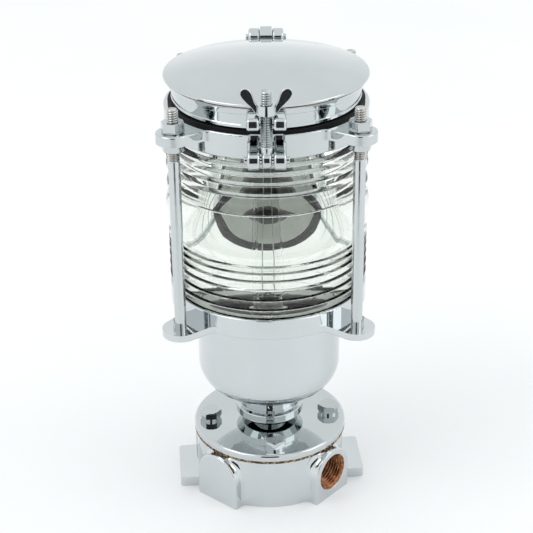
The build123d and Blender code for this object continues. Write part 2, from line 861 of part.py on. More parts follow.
with BuildPart() as lid_skirt:
    with BuildSketch(Plane.XZ):
        with BuildLine():
            Polyline(
                (skirt_bore, skirt_bottom),
                (skirt_foot_radius, skirt_bottom),
                (skirt_lip_radius, skirt_bottom + skirt_lip_round),
                (skirt_lip_radius, skirt_bottom + skirt_lip_height),
                (skirt_radius, skirt_bottom + skirt_lip_height + skirt_lip_step),
                (skirt_ledge_radius, skirt_ledge),
                (flare_bottom_radius, flare_bottom),
            )
            RadiusArc((flare_bottom_radius, flare_bottom), (flare_top_radius, skirt_top), flare_curve)
            Polyline(
                (flare_top_radius, skirt_top),
                (skirt_flange_bore, skirt_top),
                (skirt_flange_bore, skirt_step),
                (skirt_bore, skirt_step),
                (skirt_bore, skirt_bottom),
            )
        make_face()
    revolve(axis=Axis.Z)
    add(lug_pair(lid_lug_outline.sketch).part)
    with BuildSketch(Plane.YZ):
        with BuildLine():
            Polyline(
                (lid_root, knuckle_foot),
                (hinge_circle, hinge_height - hinge_knuckle_radius),
                (hinge_circle, hinge_height),
                (hinge_circle - hinge_knuckle_radius, hinge_height),
                (hinge_circle - hinge_knuckle_radius, knuckle_top),
                (lid_root, knuckle_top),
                close=True,
            )
        make_face()
        with Locations((hinge_circle, hinge_height)):
            Circle(hinge_knuckle_radius)
    extrude(amount=knuckle_width / 2, both=True)
    with BuildSketch(Plane.YZ):
        with Locations((hinge_circle, hinge_height)):
            Circle(hinge_pin_radius + running_gap)
    extrude(amount=knuckle_width, both=True, mode=Mode.SUBTRACT)
    with BuildSketch(Plane.XY.offset(skirt_top)):
        with PolarLocations(dome_screw_circle, 4, start_angle=rod_start_angle):
            Circle(dome_screw_radius + screw_clearance)
    extrude(amount=-(skirt_top - skirt_step), mode=Mode.SUBTRACT)
save(lid_skirt, "lid_skirt")

dome_screw = slotted_screw(
    dome_screw_radius,
    skirt_top - skirt_step + dome_screw_reach,
    dome_screw_head_radius,
    dome_screw_head_height,
)
head_down = Plane(origin=(0, 0, skirt_step), z_dir=(0, 0, -1))
with BuildPart(head_down) as dome_screws:
    with PolarLocations(dome_screw_circle, 4, start_angle=rod_start_angle):
        add(dome_screw.part)
save(dome_screws, "dome_screws")

# ================================================================ lamp holder
stem_flange_top = bowl_floor + stem_flange_thickness
with BuildPart() as socket_stem:
    with BuildSketch(Plane.XZ):
        with BuildLine():
            Polyline(
                (stem_bore, bowl_floor),
                (stem_flange_radius, bowl_floor),
                (stem_flange_radius, stem_flange_top),
                (stem_radius, stem_flange_top),
                (stem_radius, socket_bottom),
                (stem_bore, socket_bottom),
                close=True,
            )
        make_face()
    revolve(axis=Axis.Z)
    fillet(rims(socket_stem, stem_radius, stem_flange_top), stem_foot_blend)
    fillet(rims(socket_stem, stem_flange_radius, stem_flange_top), stem_flange_round)
    with BuildSketch(Plane.XY.offset(stem_flange_top)):
        with PolarLocations(stem_screw_circle, 3, start_angle=90):
            Circle(small_screw_radius + screw_clearance)
    extrude(amount=-stem_flange_thickness, mode=Mode.SUBTRACT)
save(socket_stem, "socket_stem")

stem_screw = slotted_screw(
    small_screw_radius,
    stem_flange_thickness + small_screw_depth,
    small_head_radius,
    small_head_height,
)
with BuildPart(Plane.XY.offset(stem_flange_top)) as stem_screws:
    with PolarLocations(stem_screw_circle, 3, start_angle=90):
        add(stem_screw.part)
save(stem_screws, "stem_screws")

insulator_bottom = socket_bottom + socket_floor
insulator_top = insulator_bottom + insulator_thickness
contact_bottom = insulator_bottom + insulator_thickness / 2
pin_pocket = 2 * (lamp_pin_radius + screw_clearance)
pocket_bottom = lamp_pin_height - pin_pocket / 2
pocket_top = lamp_pin_height + pin_pocket / 2
pocket_reach = 2 * (socket_radius - socket_bore) + 1
with BuildPart() as socket_shell:
    with BuildSketch(Plane.XZ):
        with BuildLine():
            Polyline(
                (stem_bore, socket_bottom),
                (socket_radius, socket_bottom),
                (socket_radius, socket_top - socket_rim_height),
                (socket_radius + socket_rim_proud, socket_top - socket_rim_height + socket_rim_proud),
                (socket_radius + socket_rim_proud, socket_top),
                (socket_bore, socket_top),
                (socket_bore, insulator_bottom),
                (stem_bore, insulator_bottom),
                close=True,
            )
        make_face()
    revolve(axis=Axis.Z)
    for side in (0, 180):
        for turn in range(0, slot_angle + 1, slot_step):
            slot_top = socket_top if turn == slot_angle else pocket_top
            with BuildSketch(Plane.XY.offset(pocket_bottom).rotated((0, 0, side + turn))):
                with Locations((socket_radius, 0)):
                    Rectangle(pocket_reach, pin_pocket)
            extrude(amount=slot_top - pocket_bottom, mode=Mode.SUBTRACT)
save(socket_shell, "socket_shell")

contact_spots = [(-contact_offset, 0), (contact_offset, 0)]
with BuildPart() as socket_insulator:
    with BuildSketch(Plane.XY.offset(insulator_bottom)):
        Circle(socket_bore - fit_gap)
        with Locations(*contact_spots):
            Circle(wire_radius + fit_gap, mode=Mode.SUBTRACT)
    extrude(amount=insulator_thickness)
    with BuildSketch(Plane.XY.offset(contact_bottom)):
        with Locations(*contact_spots):
            Circle(contact_radius + fit_gap)
    extrude(amount=insulator_thickness, mode=Mode.SUBTRACT)
save(socket_insulator, "socket_insulator")

with BuildPart() as socket_contacts:
    with BuildSketch(Plane.XY.offset(contact_bottom)):
        with Locations(*contact_spots):
            Circle(contact_radius)
    extrude(amount=contact_top - contact_bottom)
save(socket_contacts, "socket_contacts")

for label, side in (("lead_wire_left", -1), ("lead_wire_right", 1)):
    lead_x = side * contact_offset
    with BuildPart() as lead_wire:
        with BuildLine():
            FilletPolyline(
                (lead_x, 0, contact_bottom),
                (lead_x, 0, wire_depth),
                (side * wire_end_across, -wire_end_forward, wire_depth),
                radius=wire_bend,
            )
        with BuildSketch(Plane.XY.offset(contact_bottom)):
            with Locations((lead_x, 0)):
                Circle(wire_radius)
        sweep()
    save(lead_wire, label)

# ================================================================ lamp
with BuildPart() as lamp_base:
    with BuildSketch(Plane.XY.offset(contact_top)):
        Circle(lamp_base_radius)
    extrude(amount=lamp_base_top - contact_top)
    fillet(rims(lamp_base, lamp_base_radius, contact_top), lamp_base_round)
    with BuildSketch(Plane.XY.offset(lamp_base_top)):
        Circle(lamp_glass_neck + fit_gap)
    extrude(amount=-lamp_glass_depth, mode=Mode.SUBTRACT)
    with BuildSketch(Plane.YZ):
        with Locations((0, lamp_pin_height)):
            Circle(lamp_pin_radius)
    extrude(amount=lamp_pin_reach, both=True)
save(lamp_base, "lamp_base")

glass_bottom = lamp_base_top - lamp_glass_depth
glass_floor = glass_bottom + lamp_glass_floor
shoulder = lamp_base_top + lamp_glass_shoulder
straight_top = lamp_glass_top - lamp_glass_radius
inner_top = lamp_glass_top - glass_wall
inner_radius = lamp_glass_radius - glass_wall
inner_neck = lamp_glass_neck - glass_wall
with BuildPart() as lamp_glass:
    with BuildSketch(Plane.XZ):
        with BuildLine():
            Polyline(
                (0, glass_bottom),
                (lamp_glass_neck, glass_bottom),
                (lamp_glass_neck, lamp_neck_top),
                (lamp_glass_radius, shoulder),
                (lamp_glass_radius, straight_top),
            )
            RadiusArc((lamp_glass_radius, straight_top), (0, lamp_glass_top), -lamp_glass_radius)
            Line((0, lamp_glass_top), (0, inner_top))
            RadiusArc((0, inner_top), (inner_radius, straight_top), inner_radius)
            Polyline(
                (inner_radius, straight_top),
                (inner_radius, shoulder + fit_gap),
                (inner_neck, lamp_neck_top + fit_gap),
                (inner_neck, glass_floor),
                (0, glass_floor),
                (0, glass_bottom),
            )
        make_face()
    revolve(axis=Axis.Z)
save(lamp_glass, "lamp_glass")

with BuildPart() as lamp_filament:
    with BuildSketch(Plane.XY.offset(glass_floor)):
        with Locations(*contact_spots):
            Circle(filament_support_radius)
    extrude(amount=light_centre - glass_floor)
    with BuildSketch(Plane.YZ):
        with Locations((0, light_centre)):
            Circle(filament_radius)
    extrude(amount=contact_offset + filament_radius, both=True)
save(lamp_filament, "lamp_filament")
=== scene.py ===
"""Looks for the guarded navigation light: chrome, pressed glass, cork and real screw threads.

Everything is in metres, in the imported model's frame: +Z up, -Y the latch side.
"""

import json
import math

import bpy
from mathutils import Matrix, Vector, noise


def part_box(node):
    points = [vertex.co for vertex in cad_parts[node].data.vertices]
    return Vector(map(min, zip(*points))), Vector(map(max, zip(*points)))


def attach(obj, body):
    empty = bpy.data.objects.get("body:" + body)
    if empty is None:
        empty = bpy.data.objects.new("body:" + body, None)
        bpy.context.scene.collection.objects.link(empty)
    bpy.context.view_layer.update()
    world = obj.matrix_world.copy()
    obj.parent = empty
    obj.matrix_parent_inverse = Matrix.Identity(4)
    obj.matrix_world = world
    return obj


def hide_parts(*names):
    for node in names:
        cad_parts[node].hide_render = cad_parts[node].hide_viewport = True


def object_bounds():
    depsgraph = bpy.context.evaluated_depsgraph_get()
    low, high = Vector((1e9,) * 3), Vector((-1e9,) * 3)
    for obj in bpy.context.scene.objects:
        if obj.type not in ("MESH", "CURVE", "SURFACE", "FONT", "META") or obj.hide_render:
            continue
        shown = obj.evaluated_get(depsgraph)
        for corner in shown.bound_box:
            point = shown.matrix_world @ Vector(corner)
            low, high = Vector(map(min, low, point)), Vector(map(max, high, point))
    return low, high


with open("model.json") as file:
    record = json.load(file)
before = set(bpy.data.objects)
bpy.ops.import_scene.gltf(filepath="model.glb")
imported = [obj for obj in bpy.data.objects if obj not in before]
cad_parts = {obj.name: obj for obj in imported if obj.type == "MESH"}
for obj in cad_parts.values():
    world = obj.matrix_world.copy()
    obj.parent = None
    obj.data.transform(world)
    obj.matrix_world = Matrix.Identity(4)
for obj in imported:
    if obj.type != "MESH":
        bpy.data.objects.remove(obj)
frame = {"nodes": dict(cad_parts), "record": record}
cad_low, cad_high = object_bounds()
nodes = frame["nodes"]
record = frame["record"]
MM = 0.001

# ---------------------------------------------------------------- driving dimensions
THREAD_PITCH = 1.27 * MM  # 20 threads per inch
THREAD_DEPTH = 0.72 * MM
PIPE_PITCH = 1.81 * MM  # 14 threads per inch
PIPE_DEPTH = 0.95 * MM
THREAD_CREST = 0.1  # share of half a pitch that is flat crest
THREAD_FLANK = 0.75  # share of half a pitch that is flank
ROD_THREAD_LENGTH = 29.0 * MM
ROD_SEGMENTS = 44
ROWS_PER_PITCH = 8
TIP_LENGTH = 0.9 * MM
TIP_TAPER = 0.3
TIP_ROUNDING = 0.5
SHARP_ANGLE = math.radians(35)

WELL_CORNER_RADIUS = 22.5 * MM  # centre of the arc at the bottom of the bowl's well
WELL_CORNER_HEIGHT = 79.5 * MM
WELL_SKIN = 17.5 * MM  # from that arc's centre to the middle of the bowl's wall
# inside this radius the deck is painted dark: painted shade round the opening
DECK_SHADE_RADIUS = 30.6 * MM
DECK_RINGS = 3400.0  # radians of turning marks per metre

LENS_TIP = 56.2 * MM
LENS_CROWN = 57.0 * MM
LENS_ROOT = 53.7 * MM
LENS_UPPER_ROOT = 50.9 * MM
LENS_FOOT = 54.0 * MM
LENS_BORE = 48.5 * MM
LENS_UPPER_EDGES = [h * MM for h in (192.8, 203.4, 209.7, 215.4, 220.4, 224.5)]
LENS_LOWER_EDGES = [h * MM for h in (131.9, 137.4, 143.2, 149.3, 154.6, 159.2, 163.2)]
BELT_BOTTOM = LENS_LOWER_EDGES[-1]
BELT_TOP = LENS_UPPER_EDGES[0]
BELT_MIDDLE = (BELT_BOTTOM + BELT_TOP) / 2
BELT_HALF = (BELT_TOP - BELT_BOTTOM) / 2
BELT_STEPS = 24
LENS_SEGMENTS = 360
LENS_TIP_ROUND = 0.35 * MM
LENS_TIP_SINK = 0.3 * LENS_TIP_ROUND
LENS_TIP_FIRST = 0.2 * LENS_TIP_ROUND
LENS_TIP_SECOND = 0.8 * LENS_TIP_ROUND
LENS_TIP_LAST = 2 * LENS_TIP_ROUND
PRISM_FACE_SHARES = (0.25, 0.5, 0.75)
LENS_WAVE = 0.1 * MM
LENS_CHIP = 0.22 * MM
SEAM_ANGLE = math.radians(-96.7)
SEAM_HEIGHT = 0.12 * MM
TIP_HIGHLIGHT_RADIUS = 55.8 * MM  # prism glass beyond this is painted partly white: a painted highlight along the prism tips
TIP_HIGHLIGHT_MARGIN = 0.2 * MM  # how far the painted tip highlight reaches into the belt

BOLT_THREAD_START = 234.5 * MM
EYE_ROUND = 1.2 * MM
EYE_HALF_WIDTH = 2.5 * MM
EYE_BORE = 1.76 * MM
EYE_SEGMENTS = 72
EYE_CORNER_STEP = 15  # degrees
SHANK_START = 3 * EYE_ROUND  # above the pivot, inside the eye

PARTING_RADIUS = 55.5 * MM
PARTING_HEIGHT = 253.1 * MM
PARTING_BEAD = 0.16 * MM
PARTING_SEGMENTS = 288
PARTING_SIDES = 6

PIPE_LIP = 0.7 * MM
PIPE_SEGMENTS = 96
PIPE_SKIN = 0.04 * MM  # gap between the sleeve and the hub's bore
PIPE_WALL = 0.1 * MM

CAMERA_LENS = 96.84  # millimetres on a 36 mm sensor
CAMERA_NEAR = 0.05
CAMERA_DISTANCE = 0.8231
CAMERA_PITCH = math.radians(26.52)
CAMERA_ROLL = math.radians(-0.63)
CAMERA_SIDESTEP = 2.3 * MM
AIM_POINT = Vector((-0.95 * MM, 0, 136.5 * MM))

FLOOR_HALF = 3.0
FLOOR_GAP = 0.05 * MM
CARD_DISTANCE = 0.75
CARD_HALF_WIDTH = 0.17
CARD_BOTTOM = 0.002
CARD_TOP = 0.78
TENT_STRENGTH = 1.4
LIGHT_AIM = (0, 0, 0.12)
KEY_PLACE = (-0.9, -0.5, 1.3)
KEY_SIZE = 0.9
KEY_POWER = 4
FILL_PLACE = (1.1, -0.3, 0.9)
FILL_SIZE = 0.8
FILL_POWER = 2

# ---------------------------------------------------------------- palette
CHROME_BRIGHT = (0.59, 0.625, 0.63)
CHROME_SHADE = (0.56, 0.595, 0.605)
# BODY_BRIGHT and BODY_SHADE are a brighter copy of the chrome: painted light that lifts the bowl and the box
# where they mirror the shadowed floor.
BODY_BRIGHT = (0.64, 0.67, 0.685)
BODY_SHADE = (0.61, 0.645, 0.655)
PLATE_SHADE = (0.51, 0.54, 0.55)
ROD_GROOVE = (0.38, 0.3, 0.22)
BOLT_GROOVE = (0.33, 0.34, 0.34)
CASTING_LIGHT = (0.102, 0.08, 0.066)
CASTING_DARK = (0.068, 0.052, 0.042)
DECK_LIGHT = (0.84, 0.88, 0.83)
DECK_DARK = (0.74, 0.79, 0.73)
# painted shade for the deck round the opening
DECK_RIM_SHADE = (0.17, 0.165, 0.155)
LENS_TINT = (0.95, 0.972, 0.938)
LAMP_TINT = (0.995, 1.0, 0.995)
CORK_GAP = (0.02, 0.012, 0.008)
CORK_BARK = (0.02, 0.012, 0.007)
CORK_BROWN = (0.07, 0.04, 0.02)
CORK_TAN = (0.36, 0.25, 0.13)
CORK_PALE = (0.6, 0.47, 0.29)
RUBBER_LIGHT = (0.007, 0.007, 0.008)
RUBBER_DARK = (0.002, 0.002, 0.0025)
NICKEL_LIGHT = (0.84, 0.85, 0.86)
NICKEL_DARK = (0.7, 0.71, 0.72)
PHENOLIC_LIGHT = (0.12, 0.07, 0.045)
PHENOLIC_DARK = (0.06, 0.035, 0.025)
BRASS_LIGHT = (0.44, 0.2, 0.095)
BRASS_DARK = (0.15, 0.06, 0.03)
BLACK_SLEEVE_LIGHT = (0.035, 0.035, 0.035)
BLACK_SLEEVE_DARK = (0.015, 0.015, 0.015)
WHITE_SLEEVE_LIGHT = (0.78, 0.77, 0.72)
WHITE_SLEEVE_DARK = (0.62, 0.6, 0.55)
TUNGSTEN_LIGHT = (0.93, 0.93, 0.91)
TUNGSTEN_DARK = (0.8, 0.8, 0.78)
FLOOR_LIGHT = (0.95, 0.955, 0.96)
FLOOR_DARK = (0.92, 0.925, 0.93)
CARD_COLOUR = (0.02, 0.02, 0.022)
TENT_BOTTOM = (0.62, 0.64, 0.65)
TENT_HORIZON = (0.77, 0.79, 0.79)
TENT_SHOULDER = (0.69, 0.705, 0.71)
TENT_TOP = (0.7, 0.715, 0.72)
CORK_GRAIN = 950  # granules per metre
CAST_PLATE = {"smooth": 0.02, "dull": 0.07, "ripple": 0.18}


# ---------------------------------------------------------------- material helpers
def new_material(name):
    """A material with its node tree and its Principled shader."""
    material = bpy.data.materials.new(name)
    material.use_nodes = True
    return material, material.node_tree, material.node_tree.nodes["Principled BSDF"]


def object_coords(tree):
    """Coordinates fixed to the piece, in metres."""
    return tree.nodes.new("ShaderNodeTexCoord").outputs["Object"]


def noise_field(tree, coords, scale, detail=3.0, roughness=0.5, stretch=None):
    """Noise between 0 and 1, with scale in features per metre."""
    if stretch:
        mapping = tree.nodes.new("ShaderNodeMapping")
        mapping.inputs["Scale"].default_value = stretch
        tree.links.new(coords, mapping.inputs["Vector"])
        coords = mapping.outputs["Vector"]
    field = tree.nodes.new("ShaderNodeTexNoise")
    field.inputs["Scale"].default_value = scale
    field.inputs["Detail"].default_value = detail
    field.inputs["Roughness"].default_value = roughness
    tree.links.new(coords, field.inputs["Vector"])
    return field.outputs["Fac"]


def cells(tree, coords, scale, output="Distance"):
    """Voronoi cells, with scale in cells per metre."""
    field = tree.nodes.new("ShaderNodeTexVoronoi")
    field.inputs["Scale"].default_value = scale
    tree.links.new(coords, field.inputs["Vector"])
    return field.outputs[output]


def spread(tree, value, low, high, from_low=0.3, from_high=0.7):
    """Remap a field onto low..high."""
    remap = tree.nodes.new("ShaderNodeMapRange")
    remap.inputs["From Min"].default_value = from_low
    remap.inputs["From Max"].default_value = from_high
    remap.inputs["To Min"].default_value = low
    remap.inputs["To Max"].default_value = high
    tree.links.new(value, remap.inputs["Value"])
    return remap.outputs["Result"]


def colours(tree, value, stops):
    """Colour ramp from (position, colour) stops."""
    ramp = tree.nodes.new("ShaderNodeValToRGB")
    elements = ramp.color_ramp.elements
    while len(elements) < len(stops):
        elements.new(0.5)
    for element, (position, colour) in zip(elements, stops):
        element.position = position
        element.color = (*colour, 1.0)
    tree.links.new(value, ramp.inputs["Fac"])
    return ramp.outputs["Color"]


def mottled(tree, value, dark, light, low=0.3, high=0.7):
    """Two tones blended by a field, between its usual lowest and highest values."""
    return colours(tree, value, [(low, dark), (high, light)])


def blend_colours(tree, factor, first, second):
    """Mix of two colour sockets or colours."""
    mix = tree.nodes.new("ShaderNodeMix")
    mix.data_type = "RGBA"
    tree.links.new(factor, mix.inputs["Factor"])
    for value, socket in ((first, mix.inputs["A"]), (second, mix.inputs["B"])):
        if isinstance(value, tuple):
            socket.default_value = (*value, 1.0)
        else:
            tree.links.new(value, socket)
    return mix.outputs["Result"]


def compute(tree, operation, first, second=0.0):
    """One arithmetic node on sockets or numbers."""
    node = tree.nodes.new("ShaderNodeMath")
    node.operation = operation
    for value, socket in zip((first, second), node.inputs):
        if isinstance(value, (int, float)):
            socket.default_value = value
        else:
            tree.links.new(value, socket)
    return node.outputs["Value"]


def hypotenuse(tree, first, second):
    """Square root of the sum of two squares."""
    first_square = compute(tree, "MULTIPLY", first, first)
    second_square = compute(tree, "MULTIPLY", second, second)
    return compute(tree, "SQRT", compute(tree, "ADD", first_square, second_square))


def radius_and_height(tree, coords):
    """Distance from the lantern's axis, and height."""
    split = tree.nodes.new("ShaderNodeSeparateXYZ")
    tree.links.new(coords, split.inputs["Vector"])
    return hypotenuse(tree, split.outputs["X"], split.outputs["Y"]), split.outputs["Z"]


def add_bump(tree, shader, height, strength, distance, under=None):
    """Bump from a height field; returns the normal so that a second one can sit on it."""
    bump = tree.nodes.new("ShaderNodeBump")
    bump.inputs["Strength"].default_value = strength
    bump.inputs["Distance"].default_value = distance
    tree.links.new(height, bump.inputs["Height"])
    if under:
        tree.links.new(under, bump.inputs["Normal"])
    tree.links.new(bump.outputs["Normal"], shader.inputs["Normal"])
    return bump.outputs["Normal"]


# ---------------------------------------------------------------- materials
def plated(name, bright, shade, smooth, dull, ripple):
    """Chrome plate: faint cloudy tone, wiped smears in the gloss, and the casting's slow ripple."""
    material, tree, shader = new_material(name)
    coords = object_coords(tree)
    clouds = noise_field(tree, coords, scale=38, detail=2.0)
    tree.links.new(mottled(tree, clouds, shade, bright), shader.inputs["Base Color"])
    shader.inputs["Metallic"].default_value = 1.0
    smears = noise_field(tree, coords, scale=70, detail=5.0, roughness=0.6, stretch=(1.0, 1.0, 0.35))
    tree.links.new(spread(tree, smears, smooth, dull), shader.inputs["Roughness"])
    ripples = noise_field(tree, coords, scale=85, detail=1.5)
    slow = add_bump(tree, shader, ripples, ripple, distance=0.12 * MM)
    grain = noise_field(tree, coords, scale=900, detail=2.0)
    add_bump(tree, shader, grain, ripple, distance=0.006 * MM, under=slow)
    return material


def plated_bowl(name, bright, shade, smooth, dull, ripple, well_roughness):
    """Chrome plate outside, and the dull brown-grey of the unpolished casting inside the well."""
    material = plated(name, bright, shade, smooth, dull, ripple)
    tree = material.node_tree
    shader = tree.nodes["Principled BSDF"]
    coords = object_coords(tree)
    radius, height = radius_and_height(tree, coords)
    out = compute(tree, "MAXIMUM", compute(tree, "SUBTRACT", radius, WELL_CORNER_RADIUS))
    down = compute(tree, "MAXIMUM", compute(tree, "SUBTRACT", WELL_CORNER_HEIGHT, height))
    inside = compute(tree, "LESS_THAN", hypotenuse(tree, out, down), WELL_SKIN)
    blotches = noise_field(tree, coords, scale=220, detail=4.0)
    casting = mottled(tree, blotches, CASTING_DARK, CASTING_LIGHT)
    plate = shader.inputs["Base Color"].links[0].from_socket
    tree.links.new(blend_colours(tree, inside, plate, casting), shader.inputs["Base Color"])
    tree.links.new(compute(tree, "SUBTRACT", 1.0, inside), shader.inputs["Metallic"])
    gloss = shader.inputs["Roughness"].links[0].from_socket
    matt = compute(tree, "MULTIPLY", inside, well_roughness)
    tree.links.new(compute(tree, "MAXIMUM", gloss, matt), shader.inputs["Roughness"])
    return material


def satin_deck(name):
    """Pale satin plate whose rolled rim is darkened by painted shade."""
    material, tree, shader = new_material(name)
    coords = object_coords(tree)
    radius, _ = radius_and_height(tree, coords)
    pale = mottled(tree, noise_field(tree, coords, scale=120), DECK_DARK, DECK_LIGHT)
    # Painted shade: inside this radius, round the opening, the deck takes a dark colour.
    rim_shade = compute(tree, "LESS_THAN", radius, DECK_SHADE_RADIUS)
    tree.links.new(blend_colours(tree, rim_shade, pale, DECK_RIM_SHADE), shader.inputs["Base Color"])
    shader.inputs["Metallic"].default_value = 0.3
    rings = compute(tree, "SINE", compute(tree, "MULTIPLY", radius, DECK_RINGS))
    haze = noise_field(tree, coords, scale=200, detail=4.0)
    tree.links.new(spread(tree, haze, 0.34, 0.5), shader.inputs["Roughness"])
    add_bump(tree, shader, rings, strength=0.15, distance=0.03 * MM)
    return material


def threaded_plate(name, worn):
    """Bright plate on a cut thread, worn to another colour in the grooves."""
    material, tree, shader = new_material(name)
    coords = object_coords(tree)
    groove = tree.nodes.new("ShaderNodeAttribute")
    groove.attribute_name = "groove"
    patches = spread(tree, noise_field(tree, coords, scale=420), 0.25, 1.0)
    depth = compute(tree, "MULTIPLY", groove.outputs["Fac"], patches)
    tree.links.new(blend_colours(tree, depth, CHROME_BRIGHT, worn), shader.inputs["Base Color"])
    shader.inputs["Metallic"].default_value = 1.0
    haze = noise_field(tree, coords, scale=300, detail=4.0)
    tree.links.new(spread(tree, haze, 0.08, 0.2), shader.inputs["Roughness"])
    grain = noise_field(tree, coords, scale=1500, detail=2.0)
    add_bump(tree, shader, grain, strength=0.2, distance=0.01 * MM)
    return material


def pressed_glass(name, tint, ior, ripple):
    """Clear glass with the slow waves of a pressed or blown surface."""
    material, tree, shader = new_material(name)
    coords = object_coords(tree)
    shader.inputs["Base Color"].default_value = (*tint, 1.0)
    shader.inputs["Transmission Weight"].default_value = 1.0
    shader.inputs["IOR"].default_value = ior
    haze = noise_field(tree, coords, scale=140, detail=4.0)
    tree.links.new(spread(tree, haze, 0.0, 0.02), shader.inputs["Roughness"])
    swell = noise_field(tree, coords, scale=60, detail=2.0, stretch=(1, 1, 0.5))
    waves = add_bump(tree, shader, swell, ripple, distance=0.4 * MM)
    grain = noise_field(tree, coords, scale=400, detail=2.0)
    add_bump(tree, shader, grain, ripple * 0.5, distance=0.03 * MM, under=waves)
    return material


def paint_tip_highlights(material):
    """The prisms' tips are painted white in patches: a painted highlight standing in for the glints on their
    rounded edges.
    """
    tree = material.node_tree
    shader = tree.nodes["Principled BSDF"]
    coords = object_coords(tree)
    radius, height = radius_and_height(tree, coords)
    from_middle = compute(tree, "ABSOLUTE", compute(tree, "SUBTRACT", height, BELT_MIDDLE))
    belt = compute(tree, "LESS_THAN", from_middle, BELT_HALF - TIP_HIGHLIGHT_MARGIN)
    tip = compute(tree, "GREATER_THAN", radius, TIP_HIGHLIGHT_RADIUS)
    tip_highlight = compute(tree, "MULTIPLY", tip, compute(tree, "SUBTRACT", 1.0, belt))
    # Painted highlight: on the tips, in patches, the glass loses part of its transmission and turns diffuse
    # white.
    grain = spread(tree, noise_field(tree, coords, scale=900), 0.15, 0.75, 0.35, 0.65)
    worn = compute(tree, "MULTIPLY", tip_highlight, grain)
    tree.links.new(compute(tree, "SUBTRACT", 1.0, worn), shader.inputs["Transmission Weight"])
    return material


def pressed_cork(name):
    """Granules of several browns with dark gaps between them."""
    material, tree, shader = new_material(name)
    coords = object_coords(tree)
    stops = [(0.0, CORK_BARK), (0.42, CORK_BROWN), (0.52, CORK_TAN), (1.0, CORK_PALE)]
    grains = colours(tree, cells(tree, coords, CORK_GRAIN, "Color"), stops)
    gaps = spread(tree, cells(tree, coords, CORK_GRAIN), 0.0, 1.0, 0.5, 0.75)
    tree.links.new(blend_colours(tree, gaps, grains, CORK_GAP), shader.inputs["Base Color"])
    shader.inputs["Roughness"].default_value = 0.85
    add_bump(tree, shader, cells(tree, coords, CORK_GRAIN), strength=0.8, distance=0.15 * MM)
    return material


def black_rubber(name):
    """Soft black rubber with a dusty bloom."""
    material, tree, shader = new_material(name)
    coords = object_coords(tree)
    bloom = noise_field(tree, coords, scale=120, detail=5.0, roughness=0.6)
    tone = mottled(tree, bloom, RUBBER_DARK, RUBBER_LIGHT, low=0.35, high=0.75)
    tree.links.new(tone, shader.inputs["Base Color"])
    tree.links.new(spread(tree, bloom, 0.45, 0.65), shader.inputs["Roughness"])
    shader.inputs["Specular IOR Level"].default_value = 0.2
    grain = noise_field(tree, coords, scale=2200)
    add_bump(tree, shader, grain, strength=0.35, distance=0.02 * MM)
    return material


def bare_metal(name, light, dark, smooth, dull, scale):
    """Unplated metal with tarnish in patches and fine tool marks."""
    material, tree, shader = new_material(name)
    coords = object_coords(tree)
    tarnish = noise_field(tree, coords, scale, detail=5.0, roughness=0.6)
    tone = mottled(tree, tarnish, dark, light, low=0.32, high=0.68)
    tree.links.new(tone, shader.inputs["Base Color"])
    shader.inputs["Metallic"].default_value = 1.0
    tree.links.new(spread(tree, tarnish, dull, smooth), shader.inputs["Roughness"])
    marks = noise_field(tree, coords, scale * 9)
    add_bump(tree, shader, marks, strength=0.3, distance=0.02 * MM)
    return material


def moulded(name, light, dark, roughness, scale):
    """Plastic or phenolic with a slight mottle and a fine moulded skin."""
    material, tree, shader = new_material(name)
    coords = object_coords(tree)
    mottle = noise_field(tree, coords, scale, detail=4.0, roughness=0.6)
    tree.links.new(mottled(tree, mottle, dark, light), shader.inputs["Base Color"])
    tree.links.new(spread(tree, mottle, roughness, roughness + 0.15), shader.inputs["Roughness"])
    skin = noise_field(tree, coords, scale * 8, detail=2.0)
    add_bump(tree, shader, skin, strength=0.25, distance=0.02 * MM)
    return material


def finish_table():
    """One material for each slot of the record."""
    hardware = {"smooth": 0.03, "dull": 0.1, "ripple": 0.08}
    nickel = {"smooth": 0.35, "dull": 0.5, "scale": 90}
    brass = {"smooth": 0.18, "dull": 0.4, "scale": 350}
    tungsten = {"smooth": 0.3, "dull": 0.5, "scale": 2000}
    phenolic = {"roughness": 0.35, "scale": 500}
    sleeve = {"roughness": 0.4, "scale": 300}
    return {
        "chrome_casting": plated("cast_chrome", CHROME_BRIGHT, CHROME_SHADE, **CAST_PLATE),
        "chrome_hardware": plated("bright_plate", CHROME_BRIGHT, PLATE_SHADE, **hardware),
        "lens_glass": paint_tip_highlights(pressed_glass("pressed_lens", LENS_TINT, ior=1.52, ripple=0.25)),
        "lamp_glass": pressed_glass("blown_lamp", LAMP_TINT, ior=1.06, ripple=0.1),
        "cork": pressed_cork("pressed_cork"),
        "black_rubber": black_rubber("black_rubber"),
        "nickel_socket": bare_metal("satin_nickel", NICKEL_LIGHT, NICKEL_DARK, **nickel),
        "insulator": moulded("phenolic", PHENOLIC_LIGHT, PHENOLIC_DARK, **phenolic),
        "bare_brass": bare_metal("bare_brass", BRASS_LIGHT, BRASS_DARK, **brass),
        "wire_black": moulded("black_sleeve", BLACK_SLEEVE_LIGHT, BLACK_SLEEVE_DARK, **sleeve),
        "wire_white": moulded("white_sleeve", WHITE_SLEEVE_LIGHT, WHITE_SLEEVE_DARK, **sleeve),
        "tungsten": bare_metal("tungsten", TUNGSTEN_LIGHT, TUNGSTEN_DARK, **tungsten),
    }


